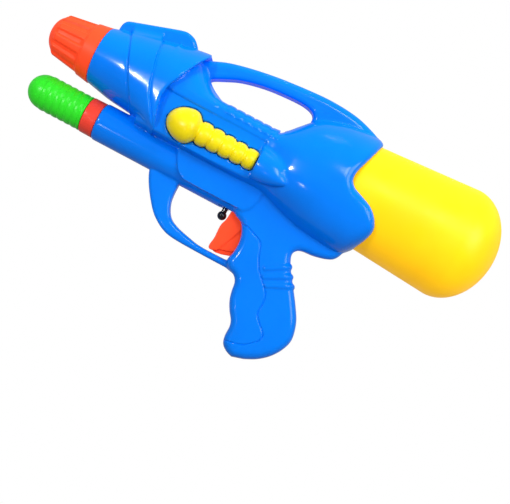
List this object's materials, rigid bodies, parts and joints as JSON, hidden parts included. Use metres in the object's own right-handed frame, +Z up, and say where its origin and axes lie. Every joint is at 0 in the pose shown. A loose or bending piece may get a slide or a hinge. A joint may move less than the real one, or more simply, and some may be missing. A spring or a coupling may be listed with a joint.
{
  "type": "water squirter",
  "caption": "Pistol-shaped pump water squirter with a fluted nozzle, under-barrel pump handle, carry handle, trigger and a screw-on bottle tank at the rear.",
  "frame": {"origin": "mouth of the nozzle's jet hole, on the barrel's axis", "axes": "+X along the barrel from the muzzle to the tank, +Y to the right side, +Z up with the grip pointing down"},
  "size_m": [0.3625, 0.0854, 0.199],
  "materials": {
    "blue_plastic": "glossy moulded",
    "orange_plastic": "glossy moulded",
    "yellow_plastic": "glossy moulded",
    "red_plastic": "glossy moulded",
    "green_plastic": "glossy moulded",
    "white_plastic": "satin",
    "black_plastic": "glossy moulded",
    "black_rubber": "matt",
    "hose": "translucent soft",
    "steel": "plated"
  },
  "bodies": {
    "housing": {"left_shell": "blue_plastic", "right_shell": "blue_plastic", "shell_screws": "steel", "barrel_tube": "white_plastic", "nozzle_seal": "black_rubber", "outlet_hose": "hose", "supply_hose": "hose", "air_hose": "hose", "pump_collar": "red_plastic", "pump_cylinder": "white_plastic", "check_valve_body": "white_plastic", "valve_body": "white_plastic", "valve_cap": "white_plastic", "valve_spring": "steel", "trigger_pin": "steel", "trigger_spring": "steel", "tank_socket": "white_plastic", "dip_tube": "hose", "left_trim": "yellow_plastic", "right_trim": "yellow_plastic"},
    "nozzle": {"nozzle_cap": "orange_plastic"},
    "pump": {"pump_handle": "green_plastic", "pump_rod": "white_plastic", "pump_piston": "white_plastic", "piston_seal": "black_rubber"},
    "check_disc": {"check_valve_disc": "black_rubber"},
    "valve": {"valve_stem": "black_plastic", "valve_seal": "black_rubber"},
    "trigger": {"trigger": "orange_plastic"},
    "gasket": {"tank_gasket": "black_rubber"},
    "tank": {"tank": "yellow_plastic"}
  },
  "joints": [
    {"name": "nozzle_turn", "type": "hinge", "parent": "housing", "child": "nozzle", "pos_m": [0, 0, 0], "axis": [1, 0, 0], "range_deg": [0, 180]},
    {"name": "pump_stroke", "type": "slide", "parent": "housing", "child": "pump", "axis": [-1, 0, 0], "range_m": [0, 0.055]},
    {"name": "check_valve_lift", "type": "slide", "parent": "housing", "child": "check_disc", "axis": [1, 0, 0], "range_m": [0, 0.0012]},
    {"name": "trigger_pull", "type": "hinge", "parent": "housing", "child": "trigger", "pos_m": [0.184, 0, -0.046], "axis": [0, -1, 0], "range_deg": [0, 14], "stiffness_Nm_per_rad": 0.3, "springref_deg": -11.46, "deforming": ["trigger_spring"]},
    {"name": "valve_travel", "type": "slide", "parent": "housing", "child": "valve", "axis": [0, 0, -1], "range_m": [0, 0.00284], "deforming": ["valve_spring"]},
    {"name": "tank_travel", "type": "slide", "parent": "housing", "child": "gasket", "axis": [1, 0, 0], "range_m": [0, 0.006]},
    {"name": "tank_turn", "type": "hinge", "parent": "gasket", "child": "tank", "pos_m": [0.25, 0, 0], "axis": [1, 0, 0], "range_deg": [0, 720]}
  ],
  "couplings": [
    {"joint": "valve_travel", "follows": "trigger_pull", "m_per_rad": 0.0116},
    {"joint": "tank_travel", "follows": "tank_turn", "m_per_rad": 0.00047746}
  ]
}
